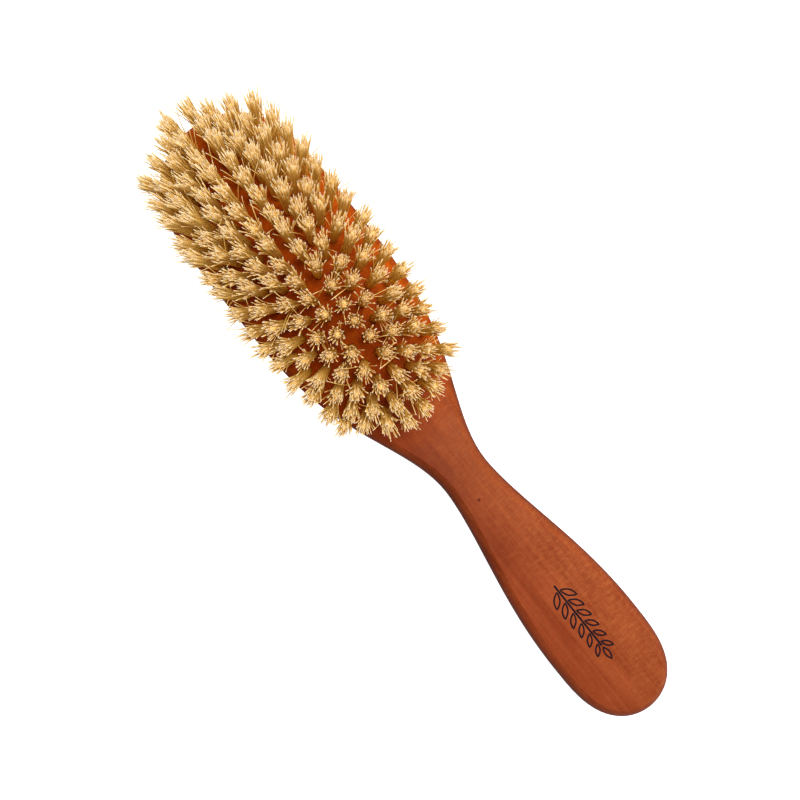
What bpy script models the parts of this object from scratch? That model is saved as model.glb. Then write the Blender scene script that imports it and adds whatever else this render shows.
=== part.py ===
"""A handled bristle brush for the beard, built the hand-drawn way.

The wooden body is two boards, glued back to face. The front board is drilled with eight rows of
leaning holes, and each row opens into its own groove in that board's rear face. A row's bristle
tufts stand in its holes, and one wire runs along the groove, through the fold of every tuft. The
back cover closes the grooves. Nothing on the brush moves against anything else.

Frame: the back rests on z = 0 and the bristles point to +Z. +X runs to the handle's end, x = 0 is
the middle of the bristle field, and the brush is symmetric about y = 0. All lengths are in metres.
"""

import math

import bmesh
import bpy
from mathutils import Matrix, Vector

# Plan of the wooden body.
HEAD_TIP_X = -0.0566
HEAD_WIDEST_X = -0.0111
NECK_X = 0.0754
HANDLE_WIDEST_X = 0.1364
HANDLE_END_X = 0.1628
HEAD_HALF = 0.02375
NECK_HALF = 0.00768
HANDLE_HALF = 0.0153
TIP_BLUNTNESS = 4.4  # exponents of the two rounded ends, where 2 is an ellipse
END_BLUNTNESS = 3.2
SHOULDER_DELAY = 1.85  # above 1, the head keeps its width for longer
SWELL_DELAY = 0.82  # below 1, the handle swells sooner

# Heights of the wooden body.
HEAD_TOP = 0.0140
HANDLE_TOP = 0.0115
CROWN_ALONG = 0.380  # radii of the head's crowned face
CROWN_ACROSS = 0.120
CROWN_ENDS_X = (0.035, 0.075)  # the crowned face turns into the flat one between these
SPLIT_Z = 0.0050  # the plane of the glue joint
GLUE_GAP = 0.0003

# Rounding of the body's edges, each a piece of an ellipse: how far in it starts, how tall it is,
# and the angle on the ellipse where it starts, which gives the face's arris.
FACE_ROUND = (0.0028, 0.0040, math.radians(45))
BACK_ROUND = (0.0070, 0.0038, math.radians(10))
ROUND_STEPS = 3
MOST_ROUND_SHARE = 0.45  # a round takes no more than this share of the half width

# The loft's stations along the body and points across its face.
TIP_STATIONS = 7
SHOULDER_STATIONS = 8
SWELL_STATIONS = 6
END_STATIONS = 6
FACE_STEPS = 3
TIP_SPINE_SHARE = 0.56  # how much of each rounded end's length the spine of the loft follows
END_SPINE_SHARE = 0.50

# The bristle field. Row 1 is the outermost on the +Y side.
ROW_TUFTS = (15, 16, 17, 18, 18, 17, 16, 15)
ROW_INNER = 0.00278
ROW_PITCH = 0.00493
TUFT_PITCH = 0.00562
ROW_BEND = 0.0030  # how far the outermost rows turn in at BEND_X, to follow the head's edge
BEND_X = 0.0393
BEND_POWER = 3.5
LEAN_ALONG = 0.172  # a tuft at (x, y) leans out by the sines x / LEAN_ALONG and y / LEAN_ACROSS
LEAN_ACROSS = 0.068

# One tuft, its hole and its wire.
BRISTLE_HEIGHT = 0.0176
BRISTLE_DOME = 0.0006
ROOT_RADIUS = 0.00115
TIP_ALONG = 0.0033  # half the spread of the tips: neighbours in a row just meet
TIP_ACROSS = 0.0024
TUFT_SIDES = 6  # two of a tuft's flats face along the row, and two of its corners across
HOLE_RADIUS = 0.00145
HOLE_SIDES = 6
HOLE_OVERRUN = 0.0015
GROOVE_DEPTH = 0.0022
GROOVE_HALF = 0.0006
WIRE_RADIUS = 0.0002
WIRE_CLEARANCE = 0.0003
WIRE_ABOVE_REAR = 0.0012
WIRE_END = 0.0020  # how far the wire passes the last tuft
GROOVE_END = 0.0026
FOLD_BELOW_WIRE = 0.00085

PEARWOOD = ((0.39, 0.085, 0.025), 0.42, 0.0)
BACK_WOOD = ((0.34, 0.075, 0.022), 0.45, 0.0)
BRISTLE = ((0.72, 0.48, 0.20), 0.55, 0.0)
STEEL = ((0.62, 0.62, 0.60), 0.30, 1.0)


def clear_scene():
    for obj in list(bpy.data.objects):
        bpy.data.objects.remove(obj, do_unlink=True)


def new_collection(name):
    collection = bpy.data.collections.new(name)
    bpy.context.scene.collection.children.link(collection)
    return collection


def new_material(name, look):
    colour, roughness, metallic = look
    material = bpy.data.materials.new(name)
    material.use_nodes = True
    shader = material.node_tree.nodes["Principled BSDF"]
    shader.inputs["Base Color"].default_value = (*colour, 1.0)
    shader.inputs["Roughness"].default_value = roughness
    shader.inputs["Metallic"].default_value = metallic
    return material


def object_from(bm, name, collection):
    """A new mesh object that takes over this bmesh."""
    bmesh.ops.recalc_face_normals(bm, faces=bm.faces)
    mesh = bpy.data.meshes.new(name)
    bm.to_mesh(mesh)
    bm.free()
    obj = bpy.data.objects.new(name, mesh)
    collection.objects.link(obj)
    return obj


def as_helper(obj):
    obj.hide_render = True
    obj.display_type = "WIRE"
    return obj


def add_boolean(obj, operation, other):
    modifier = obj.modifiers.new(other.name, "BOOLEAN")
    modifier.operation = operation
    modifier.object = other
    modifier.solver = "EXACT"


def smooth_step(low, high, value):
    share = min(max((value - low) / (high - low), 0.0), 1.0)
    return share * share * (3 - 2 * share)


# ---- The wooden body ----


def rounded_end(widest_x, end_x, half, bluntness, stations):
    """(x, half width) from the end's middle to its widest place, evenly spaced in angle."""
    points = []
    for i in range(stations):
        angle = 0.5 * math.pi * i / stations
        reach = math.cos(angle) ** (2 / bluntness)
        points.append((widest_x + (end_x - widest_x) * reach, half * math.sin(angle)))
    return points


def eased_edge(start_x, end_x, start_half, end_half, delay, stations):
    """(x, half width) along an S-shaped edge, without its last point."""
    points = []
    for i in range(stations):
        share = i / stations
        ease = 0.5 - 0.5 * math.cos(math.pi * share**delay)
        x = start_x + (end_x - start_x) * share
        points.append((x, start_half + (end_half - start_half) * ease))
    return points


def outline():
    """The edge of the body, (x, half width) from the head's tip to the handle's end."""
    tip = rounded_end(HEAD_WIDEST_X, HEAD_TIP_X, HEAD_HALF, TIP_BLUNTNESS, TIP_STATIONS)
    shoulder = eased_edge(
        HEAD_WIDEST_X, NECK_X, HEAD_HALF, NECK_HALF, SHOULDER_DELAY, SHOULDER_STATIONS
    )
    swell = eased_edge(NECK_X, HANDLE_WIDEST_X, NECK_HALF, HANDLE_HALF, SWELL_DELAY, SWELL_STATIONS)
    end = rounded_end(HANDLE_WIDEST_X, HANDLE_END_X, HANDLE_HALF, END_BLUNTNESS, END_STATIONS)
    return tip + shoulder + swell + [(HANDLE_WIDEST_X, HANDLE_HALF)] + end[::-1]


def spine_x(x):
    """Where the loft's section through the edge at x starts, on the plane y = 0."""
    if x < HEAD_WIDEST_X:
        return HEAD_WIDEST_X + (x - HEAD_WIDEST_X) * TIP_SPINE_SHARE
    if x > HANDLE_WIDEST_X:
        return HANDLE_WIDEST_X + (x - HANDLE_WIDEST_X) * END_SPINE_SHARE
    return x


def face_height(x, y):
    """Height of the front face: crowned on the head, and flat on the handle."""
    crown = HEAD_TOP - x * x / (2 * CROWN_ALONG) - y * y / (2 * CROWN_ACROSS)
    flat = smooth_step(*CROWN_ENDS_X, x)
    return crown + (HANDLE_TOP - crown) * flat


def round_profile(edge_round, reach):
    """(distance in from the edge, drop) along an elliptic round, from the face to the side."""
    run, drop, start = edge_round
    run = min(run, MOST_ROUND_SHARE * reach)
    points = []
    for i in range(ROUND_STEPS + 1):
        angle = start + (0.5 * math.pi - start) * i / ROUND_STEPS
        inset = run * (1 - math.sin(angle)) / (1 - math.sin(start))
        fall = drop * (math.cos(start) - math.cos(angle)) / math.cos(start)
        points.append((inset, fall))
    return points


def front_section(spine, edge):
    """The front board's section: over its face, down its side and back to the spine."""
    reach = (edge - spine).length
    out = (edge - spine) / reach
    profile = round_profile(FACE_ROUND, reach)
    face_reach = reach - profile[0][0]
    points = []
    for i in range(FACE_STEPS):
        place = spine + out * face_reach * i / FACE_STEPS
        points.append((place.x, place.y, face_height(place.x, place.y)))
    for inset, fall in profile:
        place = edge - out * inset
        points.append((place.x, place.y, face_height(place.x, place.y) - fall))
    rear = SPLIT_Z + GLUE_GAP / 2
    return points + [(edge.x, edge.y, rear), (spine.x, spine.y, rear)]


def back_section(spine, edge):
    """The back cover's section: across its glued face, down its side and round to the rest."""
    reach = (edge - spine).length
    out = (edge - spine) / reach
    top = SPLIT_Z - GLUE_GAP / 2
    points = [(spine.x, spine.y, top), (edge.x, edge.y, top)]
    for inset, fall in reversed(round_profile(BACK_ROUND, reach)):
        place = edge - out * inset
        points.append((place.x, place.y, fall))
    return points + [(spine.x, spine.y, 0.0)]


def add_board(name, section, collection, look):
    """A board lofted through its sections on the +Y side, and mirrored."""
    bm = bmesh.new()
    rows = []
    for x, half in outline():
        points = section(Vector((spine_x(x), 0.0)), Vector((x, half)))
        rows.append([bm.verts.new(point) for point in points])
    for one, other in zip(rows, rows[1:]):
        for k in range(len(one) - 1):
            bm.faces.new((one[k], one[k + 1], other[k + 1], other[k]))
    obj = object_from(bm, name, collection)
    mirror = obj.modifiers.new("Mirror", "MIRROR")
    mirror.use_axis = (False, True, False)
    mirror.merge_threshold = 0.00001
    obj.data.materials.append(new_material(name, look))
    obj.data.shade_smooth()
    obj.data.set_sharp_from_angle(angle=math.radians(35))
    return obj


# ---- The bristle field ----


def row_offset(row):
    """The row's distance from the plane y = 0, positive for rows 1 to 4."""
    middle = len(ROW_TUFTS) // 2
    if row <= middle:
        return ROW_INNER + ROW_PITCH * (middle - row)
    return -row_offset(2 * middle + 1 - row)


def tuft_axes(row):
    """(foot, direction) of each tuft in a row, the foot on the front face."""
    offset = row_offset(row)
    outermost = row_offset(1)
    count = ROW_TUFTS[row - 1]
    axes = []
    for i in range(count):
        x = (i - (count - 1) / 2) * TUFT_PITCH
        bend = ROW_BEND * (offset / outermost) ** 2 * (abs(x) / BEND_X) ** BEND_POWER
        y = offset - math.copysign(bend, offset)
        lean = (x / LEAN_ALONG, y / LEAN_ACROSS)
        rise = math.sqrt(1 - lean[0] ** 2 - lean[1] ** 2)
        axes.append((Vector((x, y, face_height(x, y))), Vector((*lean, rise))))
    return axes


def at_height(foot, direction, z):
    """The point of a tuft's axis at this height."""
    return foot + direction * (z - foot.z) / direction.z


def wire_path(row, overrun):
    """Where the row's wire runs, through each tuft's axis and past the last ones."""
    height = SPLIT_Z + GLUE_GAP / 2 + WIRE_ABOVE_REAR
    points = [at_height(foot, direction, height) for foot, direction in tuft_axes(row)]
    first = points[0] + (points[0] - points[1]).normalized() * overrun
    last = points[-1] + (points[-1] - points[-2]).normalized() * overrun
    return [first, *points, last]


def frame_at(foot, direction):
    """The matrix that stands a tuft on its foot, with its X along the row."""
    across = direction.cross(Vector((1, 0, 0))).normalized()
    along = across.cross(direction)
    turn = Matrix((along, across, direction)).transposed().to_4x4()
    return Matrix.Translation(foot) @ turn


def add_tuft(bm, foot, direction):
    """A turned bundle: a round root down to its fold, spreading above the face to its tips."""
    fold_z = SPLIT_Z + GLUE_GAP / 2 + WIRE_ABOVE_REAR - FOLD_BELOW_WIRE
    root = (foot.z - fold_z) / direction.z
    tip_corner = TIP_ALONG / math.cos(math.pi / TUFT_SIDES)
    profile = (
        (0.0, -root),
        (ROOT_RADIUS, -root),
        (ROOT_RADIUS, 0.0),
        (tip_corner, BRISTLE_HEIGHT),
        (0.0, BRISTLE_HEIGHT + BRISTLE_DOME),
    )
    verts = [bm.verts.new((0.0, radius, height)) for radius, height in profile]
    edges = [bm.edges.new(pair) for pair in zip(verts, verts[1:])]
    before = set(bm.verts) - set(verts)
    bmesh.ops.spin(
        bm,
        geom=verts + edges,
        cent=(0, 0, 0),
        axis=(0, 0, 1),
        angle=2 * math.pi,
        steps=TUFT_SIDES,
        use_merge=True,
    )
    turned = [vert for vert in bm.verts if vert not in before]
    bmesh.ops.remove_doubles(bm, verts=turned, dist=1e-7)
    turned = [vert for vert in bm.verts if vert not in before]
    for vert in turned:
        if vert.co.z > 0:
            vert.co.y *= TIP_ACROSS / tip_corner
    bmesh.ops.transform(bm, matrix=frame_at(foot, direction), verts=turned)


def add_tufts(name, axes, collection):
    bm = bmesh.new()
    for foot, direction in axes:
        add_tuft(bm, foot, direction)
    return object_from(bm, name, collection)


def add_wire_curve(name, points, radius, bevel_resolution, collection):
    curve = bpy.data.curves.new(name, "CURVE")
    curve.dimensions = "3D"
    curve.bevel_depth = radius
    curve.bevel_resolution = bevel_resolution
    curve.use_fill_caps = True
    spline = curve.splines.new("POLY")
    spline.points.add(len(points) - 1)
    for place, point in zip(spline.points, points):
        place.co = (*point, 1.0)
    obj = bpy.data.objects.new(name, curve)
    collection.objects.link(obj)
    return obj


def curve_as_mesh(curve_object, collection):
    """A closed mesh object in the curve object's place."""
    bpy.context.view_layer.update()
    graph = bpy.context.evaluated_depsgraph_get()
    mesh = bpy.data.meshes.new_from_object(curve_object.evaluated_get(graph))
    bm = bmesh.new()
    bm.from_mesh(mesh)
    bmesh.ops.remove_doubles(bm, verts=bm.verts, dist=1e-7)
    name, place = curve_object.name, curve_object.matrix_world.copy()
    bpy.data.objects.remove(curve_object)
    obj = object_from(bm, name, collection)
    obj.matrix_world = place
    return obj


def add_tuft_row(row, parts, cutters):
    """Every tuft of a row as one body, which the tips join, with an eye for the wire."""
    name = f"tuft_row_{row}"
    axes = tuft_axes(row)
    obj = add_tufts(name, axes[::2], parts)
    between = as_helper(add_tufts(f"{name}_between", axes[1::2], cutters))
    add_boolean(obj, "UNION", between)
    radius = WIRE_RADIUS + WIRE_CLEARANCE
    eye = add_wire_curve(f"{name}_eye", wire_path(row, WIRE_END), radius, 0, cutters)
    add_boolean(obj, "DIFFERENCE", as_helper(curve_as_mesh(eye, cutters)))
    obj.data.materials.append(new_material(name, BRISTLE))
    return obj


def add_draw_wire(row, parts):
    name = f"draw_wire_{row}"
    obj = add_wire_curve(name, wire_path(row, WIRE_END), WIRE_RADIUS, 1, parts)
    obj.data.materials.append(new_material(name, STEEL))
    return obj


# ---- The drilling and grooving of the front board ----


def add_hole_cutter(cutters):
    """One leaning cylinder for each tuft, through the whole front board."""
    bm = bmesh.new()
    rear = SPLIT_Z + GLUE_GAP / 2
    for row in range(1, len(ROW_TUFTS) + 1):
        for foot, direction in tuft_axes(row):
            low = at_height(foot, direction, rear - HOLE_OVERRUN)
            high = foot + direction * HOLE_OVERRUN
            bmesh.ops.create_cone(
                bm,
                cap_ends=True,
                segments=HOLE_SIDES,
                radius1=HOLE_RADIUS,
                radius2=HOLE_RADIUS,
                depth=(high - low).length,
                matrix=frame_at((low + high) / 2, direction),
            )
    return as_helper(object_from(bm, "tuft_holes", cutters))


def add_groove_cutter(row, cutters):
    """A ribbon along the row's wire, as deep as the groove."""
    bm = bmesh.new()
    low_z = SPLIT_Z + GLUE_GAP / 2 - HOLE_OVERRUN
    rise = Vector((0, 0, GROOVE_DEPTH + HOLE_OVERRUN))
    side = Vector((0, GROOVE_HALF, 0))
    pairs = []
    for point in wire_path(row, GROOVE_END):
        floor = Vector((point.x, point.y, low_z))
        pairs.append((bm.verts.new(floor - side), bm.verts.new(floor + side)))
    faces = [bm.faces.new((a, c, d, b)) for (a, b), (c, d) in zip(pairs, pairs[1:])]
    raised = bmesh.ops.extrude_face_region(bm, geom=faces, use_keep_orig=True)
    top = [item for item in raised["geom"] if isinstance(item, bmesh.types.BMVert)]
    bmesh.ops.translate(bm, verts=top, vec=rise)
    return as_helper(object_from(bm, f"groove_{row}", cutters))


def build():
    clear_scene()
    parts = new_collection("beard_brush")
    cutters = new_collection("cutters")
    front = add_board("front_board", front_section, parts, PEARWOOD)
    add_board("back_cover", back_section, parts, BACK_WOOD)
    add_boolean(front, "DIFFERENCE", add_hole_cutter(cutters))
    for row in range(1, len(ROW_TUFTS) + 1):
        add_boolean(front, "DIFFERENCE", add_groove_cutter(row, cutters))
        add_tuft_row(row, parts, cutters)
        add_draw_wire(row, parts)


build()
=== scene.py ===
"""Looks of the handled beard brush: shaped and drilled pearwood boards, and separate bristles.

Lengths are in metres, in the frame of the CAD model: the back rests on z = 0, the bristles point to
+Z, +X runs to the handle's end, and y = 0 is the plane of symmetry.
"""

import math

import bmesh
import bpy
import numpy as np
from mathutils import Matrix, Vector


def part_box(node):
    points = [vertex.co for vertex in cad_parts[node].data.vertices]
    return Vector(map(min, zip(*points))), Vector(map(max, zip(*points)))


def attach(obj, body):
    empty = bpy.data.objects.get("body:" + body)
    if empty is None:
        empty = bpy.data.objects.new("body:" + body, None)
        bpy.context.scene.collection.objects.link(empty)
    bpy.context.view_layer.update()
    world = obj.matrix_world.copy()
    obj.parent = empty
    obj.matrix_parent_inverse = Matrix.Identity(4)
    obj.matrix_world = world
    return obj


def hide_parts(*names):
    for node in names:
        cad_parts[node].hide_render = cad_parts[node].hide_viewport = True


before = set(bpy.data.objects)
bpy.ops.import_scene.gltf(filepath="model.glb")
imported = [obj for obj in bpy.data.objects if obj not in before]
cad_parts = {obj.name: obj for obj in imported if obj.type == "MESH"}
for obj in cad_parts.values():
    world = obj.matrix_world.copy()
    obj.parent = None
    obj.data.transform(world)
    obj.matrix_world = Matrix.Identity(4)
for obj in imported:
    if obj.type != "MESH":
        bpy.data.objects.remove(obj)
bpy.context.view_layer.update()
BOARD_LOW, BOARD_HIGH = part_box("front_board")
COVER_LOW, COVER_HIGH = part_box("back_cover")
WIRE_LOW, WIRE_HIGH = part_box("draw_wire_1")

# Plan of the wooden body. An end of bluntness 2 would be half an ellipse, and more makes it squarer.
# A delay above 1 makes the edge's run between two widths turn later, and one below 1 sooner.
HEAD_TIP_X = BOARD_LOW.x
HEAD_WIDEST_X = -0.0111
NECK_X = 0.0754
HANDLE_WIDEST_X = 0.1364
HANDLE_END_X = BOARD_HIGH.x
HEAD_HALF = BOARD_HIGH.y
NECK_HALF = 0.00768
HANDLE_HALF = 0.0153
TIP_BLUNTNESS = 4.4
END_BLUNTNESS = 3.2
SHOULDER_DELAY = 1.85
SWELL_DELAY = 0.82

# Heights of the wooden body. The head's face is crowned by a radius each way, and the crown gives
# way to the flat of the handle between two places.
HEAD_TOP = BOARD_HIGH.z
HANDLE_TOP = 0.0115
CROWN_ALONG = 0.380
CROWN_ACROSS = 0.120
CROWN_ENDS_X = (0.035, 0.075)
GLUE_Z = (BOARD_LOW.z + COVER_HIGH.z) / 2
GLUE_HALF = 0.00003  # half the fine gap that shows between the two boards
GLUE_CHAMFER = 0.00012

# Rounds, as (run in from the edge, drop, angle on the ellipse where the round starts).
FACE_ROUND = (0.0028, 0.0040, math.radians(45))
BACK_ROUND = (0.0070, 0.0038, math.radians(10))
ROUND_STEPS = 9
ARRIS_STRIP = 0.0005  # the last strip of face before the round
MOST_ROUND_SHARE = 0.45  # the most of a section's reach that a round may take

# The lofts' sections: how many there are on each stretch of the outline, and how many steps each
# takes over the face. Past the widest places they fan out, because each starts at only this share
# of its distance from the widest place.
TIP_STATIONS = 22
SHOULDER_STATIONS = 34
SWELL_STATIONS = 24
END_STATIONS = 20
FACE_STEPS = 9
TIP_SPINE_SHARE = 0.56
END_SPINE_SHARE = 0.50
MERGE_DISTANCE = 0.00001  # at the plane of symmetry
SHARP_ANGLE = math.radians(32)  # an edge that turns by more is shaded as a real edge

# The bristle field. The two outermost rows bend in by ROW_BEND at BEND_X, and the others by less.
# The sine of a tuft's lean each way is its distance from the middle over LEAN_ALONG or LEAN_ACROSS.
ROW_TUFTS = (15, 16, 17, 18, 18, 17, 16, 15)
ROW_INNER = 0.00278
ROW_PITCH = 0.00493
TUFT_PITCH = 0.00562
ROW_BEND = 0.0030
BEND_X = 0.0393
BEND_POWER = 3.5  # the bend grows as this power of the distance along the brush
LEAN_ALONG = 0.172
LEAN_ACROSS = 0.068
BRISTLE_HEIGHT = 0.0176
HOLE_RADIUS = 0.00138
HOLE_SIDES = 20
HOLE_OVERRUN = 0.0015  # how far the drill goes past the glue joint and stands out of the face

# One tuft of bristles. Jitters and wobbles are standard deviations.
HAIRS = 104
LOCKS = 34
LOCK_PULL = 0.60  # how far each bristle is drawn to the middle of its lock
LOCK_LENGTHS = (0.93, 1.12)  # shares of BRISTLE_HEIGHT
HAIR_LENGTHS = (0.94, 1.03)  # shares of the lock's length
ROOT_RADIUS = 0.00128
TIP_RADIUS = 0.00172
SWELL = 0.9  # the power by which a tuft widens from its root to its tips
TUFT_TILT = 0.00050  # how far a tuft's tips stray together
ROOT_JITTER = 0.03  # of the tuft's radius
LOCK_JITTER = 0.05
TIP_JITTER = 0.00010
HAIR_WOBBLE = 0.00008
FLARE = 0.0019  # the most that the last of an outer bristle turns out
FLARE_START = 0.55  # as a share of the bristle's length
FLARE_POWER = 1.4
FLARE_SHARES = (0.1, 1.0)  # how much of its flare a lock takes
GOLDEN_ANGLE = math.pi * (3 - math.sqrt(5))  # each point's turn from the last, for an even spread

# The few bristles that have left the bundle.
STRAYS = 5
STRAY_TURN = 0.5  # how far its direction is off straight out
STRAY_BEND = 0.0008  # of the least bent, at its tip
STRAY_EXTRA_BEND = 0.0034  # of the most bent
STRAY_STARTS = (0.15, 0.5)  # as shares of the bristle's length
STRAY_POWER = 1.5
SHORTEST = 0.000001  # keeps a direction from being divided by nothing

# One bristle: the heights of its rings above the face, and its thickness at each ring from its fold.
HAIR_RADIUS = 0.000135
HAIR_SIDES = 4
DARK_GIRTH = 0.85  # the share of HAIR_RADIUS that the darkest bristle has
PALE_EXTRA_GIRTH = 0.3  # what the palest has more
RISE = (0.0, 0.22, 0.46, 0.68, 0.86, 1.0)
THICKNESS = (1.0, 1.0, 1.0, 1.0, 0.96, 0.86, 0.55)
WIRE_GAP = 0.00035  # the least distance of a fold from the row's middle, where the wire is
FOLD_BELOW_WIRE = 0.0007

# The inside of a tuft, as one solid.
CORE_SIDES = 22
CORE_SHARE = 0.86  # of the tuft's radius
CORE_RISE = (-0.10, 0.0, 0.22, 0.44, 0.64, 0.78, 0.87, 0.92)
CORE_TAPER = (1.0, 1.0, 1.0, 1.0, 0.96, 0.86, 0.62, 0.16)
CORE_RIDGES = (0.86, 1.10)
CORE_TINTS = (0.0, 0.7)
CORE_DEPTH = 0.95  # the core takes the colour of a bristle at this share of its own height


def smooth_step(low, high, value):
    share = min(max((value - low) / (high - low), 0.0), 1.0)
    return share * share * (3 - 2 * share)


# ---- The wooden body ----


def rounded_end(widest_x, end_x, half, bluntness, stations):
    """The edge from the end's tip to just before its widest place."""
    points = []
    for i in range(stations):
        angle = 0.5 * math.pi * i / stations
        reach = math.cos(angle) ** (2 / bluntness)
        points.append((widest_x + (end_x - widest_x) * reach, half * math.sin(angle)))
    return points


def eased_edge(start_x, end_x, start_half, end_half, delay, stations):
    """The edge's S-shaped run from one width to the next, without its last point."""
    points = []
    for i in range(stations):
        share = i / stations
        ease = 0.5 - 0.5 * math.cos(math.pi * share**delay)
        x = start_x + (end_x - start_x) * share
        points.append((x, start_half + (end_half - start_half) * ease))
    return points


def outline():
    """The edge of the body, (x, half width) from the head's tip to the handle's end."""
    tip = rounded_end(HEAD_WIDEST_X, HEAD_TIP_X, HEAD_HALF, TIP_BLUNTNESS, TIP_STATIONS)
    shoulder = eased_edge(
        HEAD_WIDEST_X, NECK_X, HEAD_HALF, NECK_HALF, SHOULDER_DELAY, SHOULDER_STATIONS
    )
    swell = eased_edge(NECK_X, HANDLE_WIDEST_X, NECK_HALF, HANDLE_HALF, SWELL_DELAY, SWELL_STATIONS)
    end = rounded_end(HANDLE_WIDEST_X, HANDLE_END_X, HANDLE_HALF, END_BLUNTNESS, END_STATIONS)
    return tip + shoulder + swell + [(HANDLE_WIDEST_X, HANDLE_HALF)] + end[::-1]


def spine_x(x):
    """Where the loft's section through the edge at x starts, on the plane y = 0."""
    if x < HEAD_WIDEST_X:
        return HEAD_WIDEST_X + (x - HEAD_WIDEST_X) * TIP_SPINE_SHARE
    if x > HANDLE_WIDEST_X:
        return HANDLE_WIDEST_X + (x - HANDLE_WIDEST_X) * END_SPINE_SHARE
    return x


def face_height(x, y):
    """Height of the front face: crowned on the head, and flat on the handle."""
    crown = HEAD_TOP - x * x / (2 * CROWN_ALONG) - y * y / (2 * CROWN_ACROSS)
    flat = smooth_step(*CROWN_ENDS_X, x)
    return crown + (HANDLE_TOP - crown) * flat


def round_profile(edge_round, reach):
    """(distance in from the edge, drop) along an elliptic round, from the face to the side."""
    run, drop, start = edge_round
    run = min(run, MOST_ROUND_SHARE * reach)
    points = [(run + ARRIS_STRIP, 0.0)]
    for i in range(ROUND_STEPS + 1):
        angle = start + (0.5 * math.pi - start) * i / ROUND_STEPS
        inset = run * (1 - math.sin(angle)) / (1 - math.sin(start))
        fall = drop * (math.cos(start) - math.cos(angle)) / math.cos(start)
        points.append((inset, fall))
    return points


def place_at(edge, out, inset, z):
    place = edge - out * inset
    return (place.x, place.y, z)


def front_section(spine, edge):
    """The face board's section: over its face, down its side to a fine chamfer, and back."""
    reach = (edge - spine).length
    out = (edge - spine) / reach
    profile = round_profile(FACE_ROUND, reach)
    points = []
    for i in range(FACE_STEPS):
        place = spine + out * (reach - profile[0][0]) * i / FACE_STEPS
        points.append((place.x, place.y, face_height(place.x, place.y)))
    for inset, fall in profile:
        x, y, _ = place_at(edge, out, inset, 0)
        points.append((x, y, face_height(x, y) - fall))
    low = GLUE_Z + GLUE_HALF
    points.append(place_at(edge, out, 0, low + GLUE_CHAMFER))
    points.append(place_at(edge, out, GLUE_CHAMFER, low))
    return points + [(spine.x, spine.y, low)]


def back_section(spine, edge):
    """The back board's section: across its glued face, down its side and round to the rest."""
    reach = (edge - spine).length
    out = (edge - spine) / reach
    top = GLUE_Z - GLUE_HALF
    points = [
        (spine.x, spine.y, top),
        place_at(edge, out, GLUE_CHAMFER, top),
        place_at(edge, out, 0, top - GLUE_CHAMFER),
    ]
    for inset, fall in reversed(round_profile(BACK_ROUND, reach)):
        points.append(place_at(edge, out, inset, fall))
    return points + [(spine.x, spine.y, COVER_LOW.z)]


def new_object(name, mesh):
    obj = bpy.data.objects.new(name, mesh)
    bpy.context.scene.collection.objects.link(obj)
    return obj


def object_from(bm, name):
    bmesh.ops.recalc_face_normals(bm, faces=bm.faces)
    mesh = bpy.data.meshes.new(name)
    bm.to_mesh(mesh)
    bm.free()
    return new_object(name, mesh)


def lofted_board(name, section):
    """A board lofted through its sections on the +Y side, with a Mirror modifier."""
    bm = bmesh.new()
    rows = []
    for x, half in outline():
        points = section(Vector((spine_x(x), 0.0)), Vector((x, half)))
        rows.append([bm.verts.new(point) for point in points])
    for one, other in zip(rows, rows[1:]):
        for k in range(len(one) - 1):
            bm.faces.new((one[k], one[k + 1], other[k + 1], other[k]))
    obj = object_from(bm, name)
    mirror = obj.modifiers.new("Mirror", "MIRROR")
    mirror.use_axis = (False, True, False)
    mirror.merge_threshold = MERGE_DISTANCE
    return obj


def bake_modifiers(obj):
    """Puts the evaluated mesh in place of the modifiers, shaded smooth but for its real edges."""
    bpy.context.view_layer.update()
    graph = bpy.context.evaluated_depsgraph_get()
    mesh = bpy.data.meshes.new_from_object(obj.evaluated_get(graph))
    obj.modifiers.clear()
    obj.data = mesh
    mesh.shade_smooth()
    mesh.set_sharp_from_angle(angle=SHARP_ANGLE)


def make_face_board(material):
    board = lofted_board("face_board", front_section)
    holes = hole_cutter()
    cut = board.modifiers.new("Holes", "BOOLEAN")
    cut.operation = "DIFFERENCE"
    cut.object = holes
    bake_modifiers(board)
    bpy.data.objects.remove(holes)
    finish_piece(board, material, "front_board")


def make_back_board(material):
    board = lofted_board("back_board", back_section)
    bake_modifiers(board)
    finish_piece(board, material, "back_cover")


def finish_piece(obj, material, node=None):
    """Dresses a piece in its material, hangs it on the root body, and hides the CAD node that it stands
    for, if any.
    """
    obj.data.materials.clear()
    obj.data.materials.append(material)
    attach(obj, "root")
    if node:
        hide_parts(node)


# ---- The bristle field ----


def row_offset(row):
    """The y of a row, which falls from the first row to the last."""
    middle = len(ROW_TUFTS) // 2
    if row <= middle:
        return ROW_INNER + ROW_PITCH * (middle - row)
    return -row_offset(2 * middle + 1 - row)


def tuft_axes(row):
    """(foot, direction) of each tuft in a row, the foot on the face."""
    offset = row_offset(row)
    outermost = row_offset(1)
    count = ROW_TUFTS[row - 1]
    axes = []
    for i in range(count):
        x = (i - (count - 1) / 2) * TUFT_PITCH
        bend = ROW_BEND * (offset / outermost) ** 2 * (abs(x) / BEND_X) ** BEND_POWER
        y = offset - math.copysign(bend, offset)
        lean = (x / LEAN_ALONG, y / LEAN_ACROSS)
        rise = math.sqrt(1 - lean[0] ** 2 - lean[1] ** 2)
        axes.append((Vector((x, y, face_height(x, y))), Vector((*lean, rise))))
    return axes


def at_height(foot, direction, z):
    return foot + direction * (z - foot.z) / direction.z


def axes_of(direction):
    """(along the row, across it, up the tuft), all at right angles."""
    across = direction.cross(Vector((1, 0, 0))).normalized()
    return across.cross(direction), across, direction


def frame_at(foot, direction):
    turn = Matrix(axes_of(direction)).transposed().to_4x4()
    return Matrix.Translation(foot) @ turn


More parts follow.
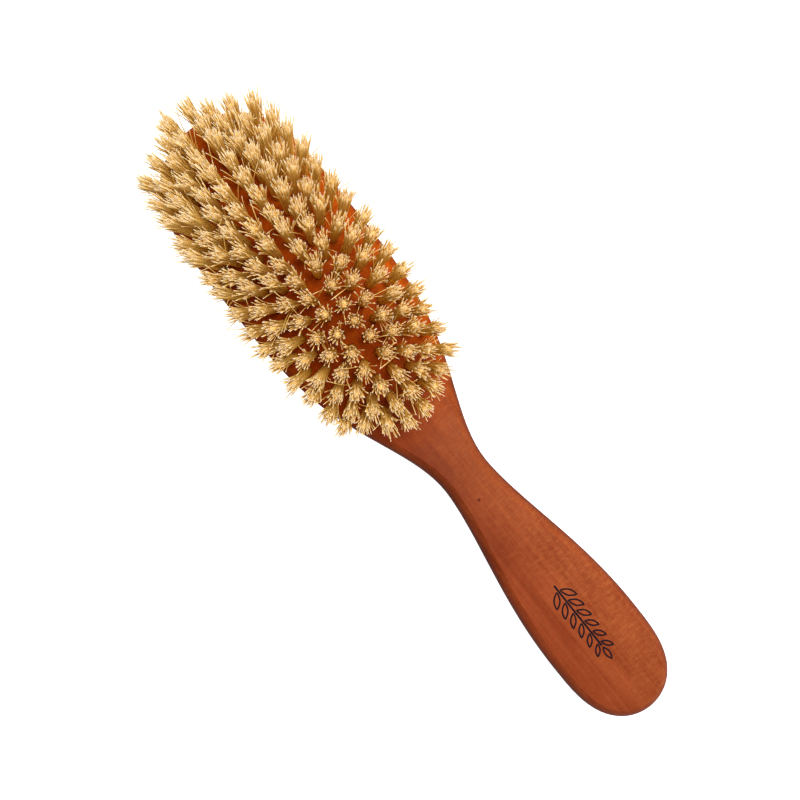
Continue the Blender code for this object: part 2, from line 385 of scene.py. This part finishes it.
def hole_cutter():
    """The drills of all the holes, from below the glue joint to just above the face."""
    bm = bmesh.new()
    for row in range(1, len(ROW_TUFTS) + 1):
        for foot, direction in tuft_axes(row):
            low = at_height(foot, direction, GLUE_Z - HOLE_OVERRUN)
            high = foot + direction * HOLE_OVERRUN
            bmesh.ops.create_cone(
                bm,
                cap_ends=True,
                segments=HOLE_SIDES,
                radius1=HOLE_RADIUS,
                radius2=HOLE_RADIUS,
                depth=(high - low).length,
                matrix=frame_at((low + high) / 2, direction),
            )
    return object_from(bm, "hole_cutter")


def disc_points(rng, count, jitter):
    """Points spread evenly over the unit disc, a little disturbed."""
    i = np.arange(count)
    radius = np.sqrt((i + 0.5) / count)
    angle = i * GOLDEN_ANGLE + rng.uniform(0, 2 * math.pi)
    points = np.stack([radius * np.cos(angle), radius * np.sin(angle)], axis=1)
    return points + rng.normal(0, jitter, points.shape)


def hair_paths(rng, tilt, root_depth):
    """The bristles of one tuft, (hairs, rings, 3) along the row, across it and up from the foot."""
    roots = disc_points(rng, HAIRS, ROOT_JITTER)
    locks = disc_points(rng, LOCKS, LOCK_JITTER)
    lock = np.argmin(((roots[:, None] - locks[None]) ** 2).sum(axis=2), axis=1)
    tips = (roots + (locks[lock] - roots) * LOCK_PULL) * TIP_RADIUS
    tips += rng.normal(0, TIP_JITTER, tips.shape) + tilt
    length = BRISTLE_HEIGHT * rng.uniform(*LOCK_LENGTHS, LOCKS)[lock]
    length *= rng.uniform(*HAIR_LENGTHS, HAIRS)

    rise = np.array(RISE)
    share = (rise**SWELL)[None, :, None]
    start = roots * ROOT_RADIUS
    wobble = rng.normal(0, HAIR_WOBBLE, (HAIRS, 1, 2)) * np.sin(math.pi * rise)[None, :, None]
    turned_out = grown_share(rise, FLARE_START, FLARE_POWER)
    outer = np.linalg.norm(locks, axis=1) ** 2 * rng.uniform(*FLARE_SHARES, LOCKS)
    flare = (locks * outer[:, None])[lock] * FLARE
    flat = start[:, None] * (1 - share) + tips[:, None] * share
    flat = flat + wobble + flare[:, None] * turned_out[None, :, None]
    flat = flat + stray_bend(rng, roots, rise)
    up = length[:, None] * rise[None, :]
    above = np.concatenate([flat, up[..., None]], axis=2)
    return np.concatenate([fold_points(start, root_depth)[:, None], above], axis=1)


def fold_points(start, root_depth):
    """The lowest point of each bristle, below the wire and to one side of it."""
    fold = start.copy()
    fold[:, 1] = np.where(fold[:, 1] < 0, -1, 1) * np.maximum(np.abs(fold[:, 1]), WIRE_GAP)
    return np.concatenate([fold, np.full((HAIRS, 1), -root_depth)], axis=1)


def grown_share(rise, start, power):
    """Growth from 0 at a start part-way up a bristle to 1 at its tip."""
    return np.clip((rise - start) / (1 - start), 0, 1) ** power


def stray_bend(rng, roots, rise):
    """Extra sideways bend of the few bristles that have left the bundle."""
    bend = np.zeros((HAIRS, len(rise), 2))
    chosen = rng.choice(HAIRS, STRAYS, replace=False)
    for hair in chosen:
        outward = roots[hair] / (np.linalg.norm(roots[hair]) + SHORTEST)
        direction = outward + rng.normal(0, STRAY_TURN, 2)
        amount = STRAY_BEND + STRAY_EXTRA_BEND * rng.uniform() ** 2
        grown = grown_share(rise, rng.uniform(*STRAY_STARTS), STRAY_POWER)
        bend[hair] = direction * amount * grown[:, None]
    return bend


def hair_prisms(paths, tints):
    """A thin prism along each path, (hairs, rings, sides, 3). A bristle of lighter tint is thicker."""
    angle = 2 * math.pi * np.arange(HAIR_SIDES) / HAIR_SIDES
    ring = np.stack([np.cos(angle), np.sin(angle), np.zeros(HAIR_SIDES)], axis=1)
    girth = DARK_GIRTH + PALE_EXTRA_GIRTH * tints
    radius = HAIR_RADIUS * girth[:, None] * np.array(THICKNESS)
    return paths[:, :, None] + ring * radius[..., None, None]


def core_prism(rng, tilt):
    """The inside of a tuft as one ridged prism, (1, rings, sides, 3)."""
    angle = 2 * math.pi * np.arange(CORE_SIDES) / CORE_SIDES
    around = np.stack([np.cos(angle), np.sin(angle)], axis=1)
    ridges = rng.uniform(*CORE_RIDGES, CORE_SIDES)[:, None]
    rise = np.array(CORE_RISE)[:, None, None]
    share = np.clip(rise, 0, 1) ** SWELL
    spread = (ROOT_RADIUS + (TIP_RADIUS - ROOT_RADIUS) * share) * CORE_SHARE
    flat = around * ridges * spread * np.array(CORE_TAPER)[:, None, None] + tilt * share
    up = np.broadcast_to(rise * BRISTLE_HEIGHT, flat.shape[:2] + (1,))
    return np.concatenate([flat, up], axis=2)[None]


def prism_faces(count, rings, sides, first):
    """[walls, caps] of closed prisms, with their points numbered ring by ring from first."""
    side = np.arange(sides)
    after = (side + 1) % sides
    step = np.arange(rings - 1)[:, None] * sides
    walls = np.stack([step + side, step + after, step + after + sides, step + side + sides], axis=2)
    caps = np.array([side[::-1], side + (rings - 1) * sides])
    offsets = (first + np.arange(count) * rings * sides)[:, None, None]
    return [(offsets + walls.reshape(-1, 4)).reshape(-1, 4), (offsets + caps).reshape(-1, sides)]


def prisms_mesh(name, groups):
    """One mesh of closed prisms. Each group is (points, along, tint), the last two per point."""
    places, faces, along, tint = [], [], [], []
    first = 0
    for points, group_along, group_tint in groups:
        faces += prism_faces(*points.shape[:3], first)
        first += points.size // 3
        places.append(points.ravel())
        along.append(np.broadcast_to(group_along, points.shape[:3]).ravel())
        tint.append(np.broadcast_to(group_tint, points.shape[:3]).ravel())
    sizes = np.concatenate([np.full(len(group), group.shape[1]) for group in faces])
    corners = np.concatenate([group.ravel() for group in faces])

    mesh = bpy.data.meshes.new(name)
    mesh.vertices.add(first)
    mesh.vertices.foreach_set("co", np.concatenate(places).astype(np.float32))
    mesh.loops.add(len(corners))
    mesh.loops.foreach_set("vertex_index", corners.astype(np.int32))
    mesh.polygons.add(len(sizes))
    mesh.polygons.foreach_set("loop_start", (np.cumsum(sizes) - sizes).astype(np.int32))
    mesh.update(calc_edges=True)
    mesh.shade_smooth()
    add_values(mesh, "along", np.concatenate(along))
    add_values(mesh, "tint", np.concatenate(tint))
    return mesh


def add_values(mesh, name, values):
    attribute = mesh.attributes.new(name, "FLOAT", "POINT")
    attribute.data.foreach_set("value", values.astype(np.float32))


def make_bristle_row(row, material):
    """The bristles of one row as one mesh, each tuft from its own seed."""
    wire_z = (WIRE_LOW.z + WIRE_HIGH.z) / 2
    hair_along = np.concatenate([[0.0], RISE])[None, :, None]
    core_along = CORE_DEPTH * np.clip(CORE_RISE, 0, 1)[None, :, None]
    groups = []
    for i, (foot, direction) in enumerate(tuft_axes(row)):
        rng = np.random.default_rng([row, i])
        root_depth = (foot.z - wire_z) / direction.z + FOLD_BELOW_WIRE
        tilt = rng.normal(0, TUFT_TILT, 2)
        turn, foot = np.array(axes_of(direction)), np.array(foot)
        paths = hair_paths(rng, tilt, root_depth) @ turn + foot
        tints = rng.uniform(0, 1, HAIRS)
        groups.append((hair_prisms(paths, tints), hair_along, tints[:, None, None]))
        core = core_prism(rng, tilt) @ turn + foot
        groups.append((core, core_along, rng.uniform(*CORE_TINTS, CORE_SIDES)))
    name = f"bristles_row_{row}"
    mesh = prisms_mesh(name, groups)
    finish_piece(new_object(name, mesh), material, f"tuft_row_{row}")


# ---- The printed leaf sprig on the handle ----

PRINT_Z = (0.000004, 0.000030)  # the underside and the top of the print above the face
PRINT_START_X = 0.1161
PRINT_END_X = 0.1429
STEM_WIDTH = 0.00058
STEM_STEPS = 24
STEM_POINTS = 21  # the stem stops short of PRINT_END_X, and the last leaf goes on from there
LEAF_WIDTH = 0.00048  # of the stroke
LEAF_STEPS = 12
LEAF_PAIRS = 6
LEAF_LENGTH = 0.0052
LEAF_SHRINK = 0.35  # how much of its length a leaf at the stem's end would lose
LEAF_BULGE = 0.17  # half a leaf's width, as a share of its length
LEAF_FULLNESS = 0.9
LEAF_ANGLE = math.radians(38)
LEAF_GAP = 0.0006  # from the stem's middle to a leaf's base
FIRST_PAIR = 0.55  # how far along the stem the first pair is, in pitches of the pairs
LAST_LEAF_LENGTH = 0.0042


def add_ribbon(bm, points, width, closed):
    """A flat stroke of even width through the points, as a thin closed solid on the face."""
    count = len(points)
    rings = []
    for i, point in enumerate(points):
        if closed:
            ahead, behind = points[(i + 1) % count], points[i - 1]
        else:
            ahead, behind = points[min(i + 1, count - 1)], points[max(i - 1, 0)]
        run = (ahead - behind).normalized()
        side = Vector((-run.y, run.x)) * width / 2
        corners = []
        for edge, lift in ((side, 0), (side, 1), (-side, 1), (-side, 0)):
            place = point + edge
            corners.append(bm.verts.new((place.x, place.y, HANDLE_TOP + PRINT_Z[lift])))
        rings.append(corners)
    pairs = list(zip(rings, rings[1:]))
    if closed:
        pairs.append((rings[-1], rings[0]))
    else:
        bm.faces.new(rings[0])
        bm.faces.new(reversed(rings[-1]))
    for one, other in pairs:
        for k in range(4):
            bm.faces.new((one[k], one[(k + 1) % 4], other[(k + 1) % 4], other[k]))


def leaf_outline(base, turn, length):
    """A pointed leaf's outline, from its base out along the turned axis and back."""
    points = []
    for i in range(2 * LEAF_STEPS):
        going_out = i <= LEAF_STEPS
        share = i / LEAF_STEPS if going_out else 2 - i / LEAF_STEPS
        bulge = LEAF_BULGE * length * math.sin(math.pi * share) ** LEAF_FULLNESS
        local = Vector((share * length, bulge if going_out else -bulge))
        local.rotate(Matrix.Rotation(turn, 2))
        points.append(base + local)
    return points


def make_leaf_print(material):
    bm = bmesh.new()
    run = PRINT_END_X - PRINT_START_X
    stem = [Vector((PRINT_START_X + run * i / STEM_STEPS, 0.0)) for i in range(STEM_POINTS)]
    add_ribbon(bm, stem, STEM_WIDTH, closed=False)
    for pair in range(LEAF_PAIRS):
        share = (pair + FIRST_PAIR) / (LEAF_PAIRS + 1)
        length = LEAF_LENGTH * (1 - LEAF_SHRINK * share)
        for sign in (1, -1):
            base = Vector((PRINT_START_X + run * share, sign * LEAF_GAP))
            leaf = leaf_outline(base, sign * LEAF_ANGLE, length)
            add_ribbon(bm, leaf, LEAF_WIDTH, closed=True)
    last_base = Vector((stem[-1].x + LEAF_GAP, 0.0))
    last_leaf = leaf_outline(last_base, 0.0, LAST_LEAF_LENGTH)
    add_ribbon(bm, last_leaf, LEAF_WIDTH, closed=True)
    finish_piece(object_from(bm, "leaf_print"), material)


# ---- Materials ----

# Each wood's dark and light.
FACE_WOOD = ((0.214, 0.032, 0.005), (0.374, 0.078, 0.020))
BACK_WOOD = ((0.19, 0.027, 0.004), (0.33, 0.064, 0.015))
CURL_COLOUR = (0.52, 0.16, 0.042)
PORE_COLOUR = (0.15, 0.022, 0.006)
KNOT_COLOUR = (0.10, 0.008, 0.004)
PIN_KNOT = (0.0829, -0.0015, HANDLE_TOP)

# Tints, which multiply the wood's colour.
# Painted shade: darkens the -Y side of the wood, which gets less of the light from +Y.
SIDE_SHADE_TINT = (0.80, 0.66, 0.60)
# Painted shade: darkens the head, the neck and, less, the end of the handle.
NECK_AND_END_SHADE_TINT = (0.83, 0.81, 0.76)
# Painted light: brightens the head's wood and deepens it to a purer orange, for the light that the
# bristles bounce onto it.
HEAD_PAINTED_LIGHT_TINT = (1.54, 1.26, 0.15)
# Painted shade: darkens the wood where its surface turns down the side.
RIM_SHADE_TINT = (0.38, 0.20, 0.26)

# Noises, as (scale per metre on each axis, detail, roughness, distortion).
STREAKS = ((22, 900, 900), 4.0, 0.6, 0.4)
BANDS = ((9, 170, 170), 2.0, 0.5, 0.5)
BLOTCHES = ((55, 110, 110), 4.0, 0.6, 0.0)
PORES = ((260, 3600, 3600), 2.0, 0.5, 0.0)
CURLS = ((1300, 420, 420), 3.0, 0.65, 0.8)
WIRE_LINES = ((60, 9000, 9000), 2.0, 0.55, 0.0)
INK_WEAR = ((900, 5200, 900), 3.0, 0.55, 0.0)

# How much of each noise goes into the grain, and the grain that is all dark or all light.
STREAK_SHARE = 0.30
BAND_SHARE = 0.30
BLOTCH_SHARE = 0.36
GRAIN_ENDS = (0.36, 0.62)

# Remaps, as (low, high, what low becomes, what high becomes). These are of a place on the brush, and
# the last of the distance from the knot's middle.
OFF_HEAD = (0.035, 0.062, 0.0, 1.0)
OFF_SIDE_SHADE = (-0.014, 0.002, 0.0, 1.0)
CURLED_SIDE = (-0.006, 0.008, 0.25, 1.0)
UNSHADED_PAST_NECK = (0.076, 0.108, 0.0, 1.0)
UNSHADED_BEFORE_END = (0.128, 0.160, 1.0, 0.3)
KNOT_SHARE = (0.0003, 0.0006, 0.9, 0.0)

# These are of noises, of how flat the surface lies, and of OFF_HEAD.
CURL_SHARE = (0.46, 0.66, 0.0, 0.30)
PORE_SHARE = (0.58, 0.72, 0.0, 0.35)
OFF_RIM_SHADE = (0.12, 0.80, 0.0, 1.0)
WOOD_ROUGHNESS = (0.3, 0.7, 0.42, 0.54)
WOOD_SPECULAR = (0.0, 1.0, 0.02, 0.08)
GRAIN_BUMP = 0.35
GRAIN_DEPTH = 0.00004

# Bristle, as (place along it, colour) and (tint, colour that multiplies it).
BRISTLE_COLOURS = (
    (0.0, (0.72, 0.33, 0.022)),
    (0.25, (0.92, 0.57, 0.090)),
    (0.75, (0.94, 0.65, 0.190)),
    (0.95, (0.93, 0.69, 0.290)),
    (1.0, (0.95, 0.80, 0.600)),
)
BRISTLE_TINTS = (
    (0.0, (0.93, 0.87, 0.76)),
    (0.5, (1.0, 1.0, 1.0)),
    (1.0, (1.03, 1.05, 1.10)),
)
BRISTLE_ROUGHNESS = (0.0, 1.0, 0.34, 0.50)
BRISTLE_SPECULAR = 0.14

WIRE_COLOURS = ((0.3, (0.50, 0.50, 0.48)), (0.7, (0.70, 0.70, 0.69)))
WIRE_ROUGHNESS = (0.3, 0.7, 0.22, 0.38)
INK_COLOURS = ((0.35, (0.004, 0.003, 0.007)), (0.75, (0.012, 0.006, 0.012)))
INK_ROUGHNESS = (0.3, 0.7, 0.50, 0.65)
INK_SPECULAR = 0.06


def set_inputs(tree, node, values):
    """Sets each input of a node, by its name or number, to a value, or links it to a socket."""
    for key, value in values.items():
        if isinstance(value, bpy.types.NodeSocket):
            tree.links.new(value, node.inputs[key])
        else:
            node.inputs[key].default_value = value


def add_node(tree, kind, inputs=None, **settings):
    made = tree.nodes.new(kind)
    for name, value in settings.items():
        setattr(made, name, value)
    set_inputs(tree, made, inputs or {})
    return made


def new_material(name):
    material = bpy.data.materials.new(name)
    material.use_nodes = True
    tree = material.node_tree
    return material, tree, tree.nodes["Principled BSDF"]


def stretched_noise(tree, scale, detail, roughness, distortion):
    """Noise over the object's own coordinates, with its own scale on each axis."""
    place = add_node(tree, "ShaderNodeTexCoord").outputs["Object"]
    mapped = add_node(tree, "ShaderNodeMapping", {"Vector": place, "Scale": scale})
    settings = {
        "Vector": mapped.outputs["Vector"],
        "Scale": 1.0,
        "Detail": detail,
        "Roughness": roughness,
        "Distortion": distortion,
    }
    return add_node(tree, "ShaderNodeTexNoise", settings).outputs["Fac"]


def ramp(tree, value, *stops):
    """A colour ramp through (position, colour) stops."""
    made = add_node(tree, "ShaderNodeValToRGB", {"Fac": value})
    points = made.color_ramp.elements
    while len(points) < len(stops):
        points.new(0.5)  # anywhere, since each is moved to its own place next
    for point, (position, colour) in zip(points, stops):
        point.position = position
        point.color = (*colour, 1.0)
    return made.outputs["Color"]


def remap(tree, value, low, high, to_low, to_high):
    settings = {"Value": value, 1: low, 2: high, 3: to_low, 4: to_high}
    return add_node(tree, "ShaderNodeMapRange", settings).outputs["Result"]


def math_node(tree, operation, *values):
    settings = dict(enumerate(values))
    return add_node(tree, "ShaderNodeMath", settings, operation=operation).outputs[0]


def colour_input(colour):
    """A colour as a node takes it: a socket as it is, and (red, green, blue) with its alpha."""
    return colour if isinstance(colour, bpy.types.NodeSocket) else (*colour, 1.0)


def mix_colour(tree, share, one, other, blend="MIX"):
    """One colour with a share of the other in it. The node's sockets share names, hence the numbers."""
    inputs = {0: share, 6: colour_input(one), 7: colour_input(other)}
    made = add_node(tree, "ShaderNodeMix", inputs, data_type="RGBA", blend_type=blend)
    return made.outputs[2]


def tinted(tree, colour, tint):
    return mix_colour(tree, 1.0, colour, tint, "MULTIPLY")


def split_axes(tree, vector):
    return add_node(tree, "ShaderNodeSeparateXYZ", {"Vector": vector}).outputs


def wood_material(name, dark, light):
    """Fine pearwood under an oil finish, duller on the head. Its colour holds painted light on the
    head, and painted shade on the -Y side, at the neck and the end, and on its rims.
    """
    material, tree, shader = new_material(name)
    place = add_node(tree, "ShaderNodeTexCoord").outputs["Object"]
    along, across, _ = split_axes(tree, place)
    off_head = remap(tree, along, *OFF_HEAD)
    streaks = stretched_noise(tree, *STREAKS)
    pore_share = remap(tree, stretched_noise(tree, *PORES), *PORE_SHARE)

    colour = grain_colour(tree, streaks, dark, light)
    # Painted shade: the -Y side of the wood is darkened.
    clear_of_side_shade = remap(tree, across, *OFF_SIDE_SHADE)
    colour = mix_colour(tree, clear_of_side_shade, tinted(tree, colour, SIDE_SHADE_TINT), colour)
    colour = mix_colour(tree, curl_share(tree, across), colour, CURL_COLOUR)
    colour = mix_colour(tree, pore_share, colour, PORE_COLOUR)
    colour = mix_colour(tree, knot_share(tree, place), colour, KNOT_COLOUR)
    # Painted shade at the head and neck, and less at the handle's end.
    colour = mix_colour(tree, unshaded_share(tree, along), tinted(tree, colour, NECK_AND_END_SHADE_TINT), colour)
    # Painted light on the head's wood.
    colour = mix_colour(tree, off_head, tinted(tree, colour, HEAD_PAINTED_LIGHT_TINT), colour)
    # Painted shade on the rims.
    colour = mix_colour(tree, off_rim_shade_share(tree), tinted(tree, colour, RIM_SHADE_TINT), colour)

    height = math_node(tree, "SUBTRACT", streaks, pore_share)
    relief = {"Height": height, "Strength": GRAIN_BUMP, "Distance": GRAIN_DEPTH}
    values = {
        "Base Color": colour,
        "Roughness": remap(tree, streaks, *WOOD_ROUGHNESS),
        "Specular IOR Level": remap(tree, off_head, *WOOD_SPECULAR),
        "Normal": add_node(tree, "ShaderNodeBump", relief).outputs["Normal"],
    }
    set_inputs(tree, shader, values)
    return material


def grain_colour(tree, streaks, dark, light):
    """The wood's own colour, from its streaks, bands and blotches together."""
    grain = math_node(tree, "MULTIPLY", streaks, STREAK_SHARE)
    for noise, share in ((BANDS, BAND_SHARE), (BLOTCHES, BLOTCH_SHARE)):
        part = math_node(tree, "MULTIPLY", stretched_noise(tree, *noise), share)
        grain = math_node(tree, "ADD", grain, part)
    return ramp(tree, grain, (GRAIN_ENDS[0], dark), (GRAIN_ENDS[1], light))


def curl_share(tree, across):
    """How much of the light curl figure shows: most on the +Y side."""
    curls = remap(tree, stretched_noise(tree, *CURLS), *CURL_SHARE)
    return math_node(tree, "MULTIPLY", curls, remap(tree, across, *CURLED_SIDE))


def knot_share(tree, place):
    """How much of the one tiny knot beside the neck shows, which is none of it elsewhere."""
    away = add_node(tree, "ShaderNodeVectorMath", {0: place, 1: PIN_KNOT}, operation="DISTANCE")
    return remap(tree, away.outputs["Value"], *KNOT_SHARE)


def unshaded_share(tree, along):
    """Where the handle is left out of the painted shade: past the neck, and less towards the end."""
    past_neck = remap(tree, along, *UNSHADED_PAST_NECK)
    before_end = remap(tree, along, *UNSHADED_BEFORE_END)
    return math_node(tree, "MINIMUM", past_neck, before_end)


def off_rim_shade_share(tree):
    """1 on what lies flat, front or back, and less where it turns down the side, where the rims get
    painted shade.
    """
    normal = add_node(tree, "ShaderNodeTexCoord").outputs["Normal"]
    flatness = math_node(tree, "ABSOLUTE", split_axes(tree, normal)[2])
    return remap(tree, flatness, *OFF_RIM_SHADE)


def bristle_material():
    """Natural bristle: deep gold at the root, straw along its length and whitish at the tip."""
    material, tree, shader = new_material("boar_bristle")
    along = add_node(tree, "ShaderNodeAttribute", attribute_name="along").outputs["Fac"]
    tint = add_node(tree, "ShaderNodeAttribute", attribute_name="tint").outputs["Fac"]
    colour = ramp(tree, along, *BRISTLE_COLOURS)
    values = {
        "Base Color": tinted(tree, colour, ramp(tree, tint, *BRISTLE_TINTS)),
        "Roughness": remap(tree, tint, *BRISTLE_ROUGHNESS),
        "Specular IOR Level": BRISTLE_SPECULAR,
    }
    set_inputs(tree, shader, values)
    return material


def steel_material():
    """Drawn wire, with fine lines along it."""
    material, tree, shader = new_material("drawn_wire")
    lines = stretched_noise(tree, *WIRE_LINES)
    values = {
        "Base Color": ramp(tree, lines, *WIRE_COLOURS),
        "Metallic": 1.0,
        "Roughness": remap(tree, lines, *WIRE_ROUGHNESS),
    }
    set_inputs(tree, shader, values)
    return material


def ink_material():
    """Dark print, a little uneven from wear."""
    material, tree, shader = new_material("dark_print")
    wear = stretched_noise(tree, *INK_WEAR)
    values = {
        "Base Color": ramp(tree, wear, *INK_COLOURS),
        "Roughness": remap(tree, wear, *INK_ROUGHNESS),
        "Specular IOR Level": INK_SPECULAR,
    }
    set_inputs(tree, shader, values)
    return material


# ---- Stage ----

CAMERA_PLACE = (0.0457, -0.00125, 0.2248)
CAMERA_TURN = math.radians(51.36)
CAMERA_LENS = 32.89
CAMERA_CLIP = 0.01

KEY_PLACE = (0.06, 0.29, 0.97)
KEY_AIM = (0.05, 0, 0)
KEY_SIZE = 0.40
KEY_POWER = 7.9
KEY_COLOUR = (1.0, 0.985, 0.96)

FLOOR_SIZE = 6.0
FLOOR_GAP = 0.0001
FLOOR_COLOUR = (0.60, 0.60, 0.60, 1.0)
FLOOR_ROUGHNESS = 0.9
WORLD_COLOUR = (1.0, 0.99, 0.98, 1.0)
WORLD_STRENGTH = (-0.8, 0.8, 0.25, 1.10)  # a remap of y: dim on the -Y side, and bright on the other


def make_floor():
    """A pale floor that the camera itself sees as white."""
    bpy.ops.mesh.primitive_plane_add(size=FLOOR_SIZE, location=(0, 0, COVER_LOW.z - FLOOR_GAP))
    floor = bpy.context.object
    floor.name = "floor"
    material, tree, shader = new_material("pale_floor")
    values = {
        "Base Color": FLOOR_COLOUR,
        "Roughness": FLOOR_ROUGHNESS,
        "Emission Color": (1, 1, 1, 1),
        "Emission Strength": add_node(tree, "ShaderNodeLightPath").outputs["Is Camera Ray"],
    }
    set_inputs(tree, shader, values)
    floor.data.materials.append(material)


def make_key_light():
    data = bpy.data.lights.new("key", "AREA")
    data.size = KEY_SIZE
    data.energy = KEY_POWER
    data.color = KEY_COLOUR
    lamp = bpy.data.objects.new("key", data)
    lamp.location = KEY_PLACE
    aim = (Vector(KEY_AIM) - Vector(KEY_PLACE)).to_track_quat("-Z", "Y")
    lamp.rotation_euler = aim.to_euler()
    bpy.context.scene.collection.objects.link(lamp)


def make_world():
    """Soft light that is brighter from one side, and at least white to the camera itself."""
    world = bpy.data.worlds.new("studio")
    bpy.context.scene.world = world
    world.use_nodes = True
    tree = world.node_tree
    seen = add_node(tree, "ShaderNodeLightPath").outputs["Is Camera Ray"]
    direction = add_node(tree, "ShaderNodeTexCoord").outputs["Generated"]
    strength = remap(tree, split_axes(tree, direction)["Y"], *WORLD_STRENGTH)
    shown = math_node(tree, "MAXIMUM", strength, seen)
    set_inputs(tree, tree.nodes["Background"], {"Color": WORLD_COLOUR, "Strength": shown})


def make_camera():
    data = bpy.data.cameras.new("camera")
    data.lens = CAMERA_LENS
    data.clip_start = CAMERA_CLIP
    camera = bpy.data.objects.new("camera", data)
    camera.location = CAMERA_PLACE
    camera.rotation_euler = (0, 0, CAMERA_TURN)
    bpy.context.scene.collection.objects.link(camera)
    bpy.context.scene.camera = camera


def dress_wire(row, material):
    """The wire of a row keeps its CAD shape, and only takes its material."""
    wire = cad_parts[f"draw_wire_{row}"]
    wire.data.materials.clear()
    wire.data.materials.append(material)


def build():
    bpy.context.scene.view_settings.view_transform = "Standard"
    make_face_board(wood_material("pearwood_face", *FACE_WOOD))
    make_back_board(wood_material("pearwood_back", *BACK_WOOD))
    bristle = bristle_material()
    steel = steel_material()
    for row in range(1, len(ROW_TUFTS) + 1):
        make_bristle_row(row, bristle)
        dress_wire(row, steel)
    make_leaf_print(ink_material())
    make_floor()
    make_key_light()
    make_world()
    make_camera()


build()
bpy.context.view_layer.update()
